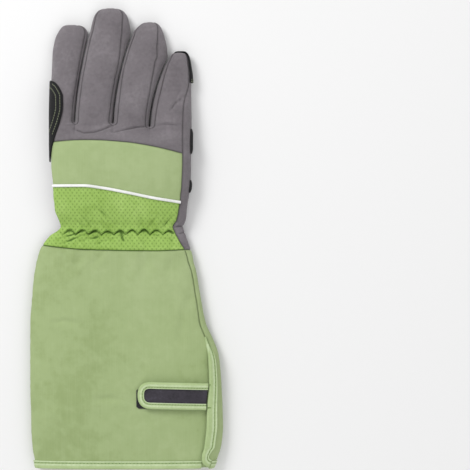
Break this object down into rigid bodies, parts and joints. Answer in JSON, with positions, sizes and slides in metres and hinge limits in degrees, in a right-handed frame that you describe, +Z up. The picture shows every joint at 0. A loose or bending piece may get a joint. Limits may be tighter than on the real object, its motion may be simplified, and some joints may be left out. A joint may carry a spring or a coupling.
{
  "type": "rose pruning gauntlet",
  "caption": "Right-hand work glove with a long fabric gauntlet cuff, lying back up, with gathered mesh wrist, piping, bound hem and slit, and a closing strap.",
  "frame": {"origin": "centre of the glove's length and width, on the surface it lies on", "axes": "+Y along the glove from the cuff's hem to the finger tips, +X from the thumb's side to the little finger's side, +Z up out of the back of the hand"},
  "size_m": [0.1595, 0.38, 0.0269],
  "materials": {
    "grey_fabric": "satin",
    "black_reinforcement": "matte",
    "sage_fabric": "matte",
    "lime_mesh": "matte",
    "white_piping": "satin",
    "binding_tape": "satin",
    "strap_webbing": "satin",
    "hook_tape": "matte"
  },
  "bodies": {
    "root": {"hand_back": "grey_fabric", "palm": "grey_fabric", "fourchette_index_middle": "grey_fabric", "fourchette_middle_ring": "grey_fabric", "fourchette_ring_little": "grey_fabric", "thumb": "grey_fabric", "thumb_saddle_patch": "black_reinforcement", "little_tip_patch": "black_reinforcement", "palm_pad_upper": "black_reinforcement", "palm_pad_heel": "black_reinforcement", "knuckle_band": "sage_fabric", "cuff_back": "sage_fabric", "cuff_front": "sage_fabric", "wrist_panel": "lime_mesh", "piping": "white_piping", "hem_binding": "binding_tape", "slit_binding": "binding_tape", "strap_binding": "binding_tape", "strap": "strap_webbing", "hook_patch": "hook_tape"}
  },
  "joints": []
}
